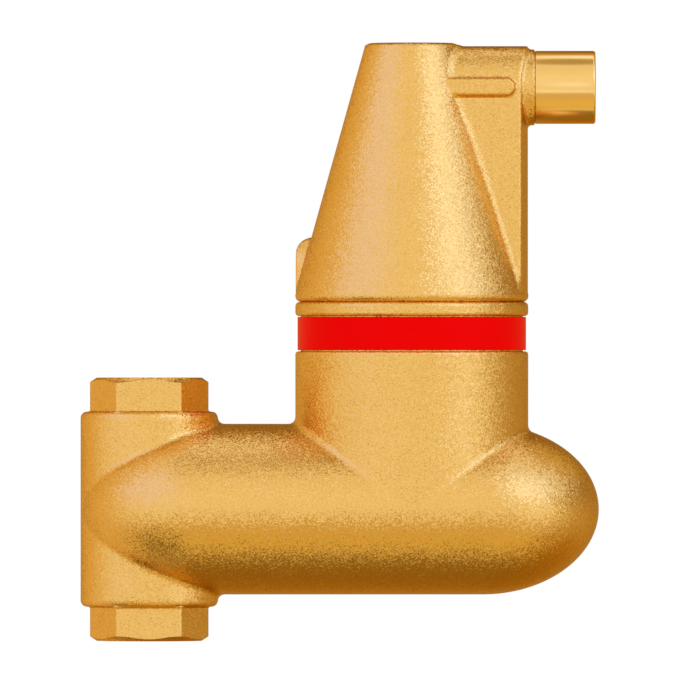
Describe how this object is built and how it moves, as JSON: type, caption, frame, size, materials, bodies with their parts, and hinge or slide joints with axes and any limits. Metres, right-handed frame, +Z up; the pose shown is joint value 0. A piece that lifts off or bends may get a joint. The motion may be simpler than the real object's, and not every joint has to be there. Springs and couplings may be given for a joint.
{
  "type": "air separator",
  "caption": "Brass in-line air separator with a chamber of separating rings beside the vertical pipe and a float-operated side vent on top.",
  "frame": {"origin": "on the axis of the vertical pipe, in the plane of the lower port's face", "axes": "+Z up along the pipe, +X from the pipe towards the tower and the vent outlet, -Y towards the viewer of the picture"},
  "size_m": [0.1524, 0.0684, 0.1758],
  "materials": {
    "cast_brass": "fine blasted casting skin",
    "turned_brass": "smooth turned",
    "red_band": "plain gloss band",
    "rubber": "matt",
    "stainless": "bright sheet and wire",
    "float_plastic": "moulded"
  },
  "bodies": {
    "casing": {"body_casting": "cast_brass", "vent_head": "cast_brass", "head_seal_ring": "rubber", "label_band": "red_band", "vent_spigot": "turned_brass", "spigot_seal_ring": "rubber", "valve_seat": "turned_brass", "lever_bracket": "stainless", "lever_pin": "stainless", "ring_cup": "stainless", "port_screen": "stainless", "pall_ring_01": "stainless", "pall_ring_02": "stainless", "pall_ring_03": "stainless", "pall_ring_04": "stainless", "pall_ring_05": "stainless", "pall_ring_06": "stainless", "pall_ring_07": "stainless", "pall_ring_08": "stainless", "pall_ring_09": "stainless", "pall_ring_10": "stainless", "pall_ring_11": "stainless", "pall_ring_12": "stainless", "pall_ring_13": "stainless", "pall_ring_14": "stainless", "pall_ring_15": "stainless", "pall_ring_16": "stainless", "pall_ring_17": "stainless", "pall_ring_18": "stainless", "pall_ring_19": "stainless", "pall_ring_20": "stainless", "pall_ring_21": "stainless", "pall_ring_22": "stainless", "pall_ring_23": "stainless", "pall_ring_24": "stainless", "pall_ring_25": "stainless", "pall_ring_26": "stainless", "pall_ring_27": "stainless", "pall_ring_28": "stainless", "pall_ring_29": "stainless", "pall_ring_30": "stainless", "pall_ring_31": "stainless"},
    "float": {"float_lower_shell": "float_plastic", "float_upper_shell": "float_plastic", "float_rod": "stainless", "float_rod_nut": "stainless"},
    "lever": {"float_lever": "stainless"},
    "plunger": {"valve_plunger": "stainless", "valve_seal": "rubber"}
  },
  "joints": [
    {"name": "float_lift", "type": "slide", "parent": "casing", "child": "float", "axis": [0, 0, 1], "range_m": [0, 0.005]},
    {"name": "lever_turn", "type": "hinge", "parent": "casing", "child": "lever", "pos_m": [0.09, 0, 0.15773], "axis": [0, 1, 0], "range_deg": [0, 21.4]},
    {"name": "plunger_slide", "type": "slide", "parent": "casing", "child": "plunger", "axis": [1, 0, 0], "range_m": [0, 0.00196]}
  ],
  "couplings": [
    {"joint": "lever_turn", "follows": "float_lift", "rad_per_m": 74.45},
    {"joint": "plunger_slide", "follows": "float_lift", "ratio": 0.3906}
  ]
}
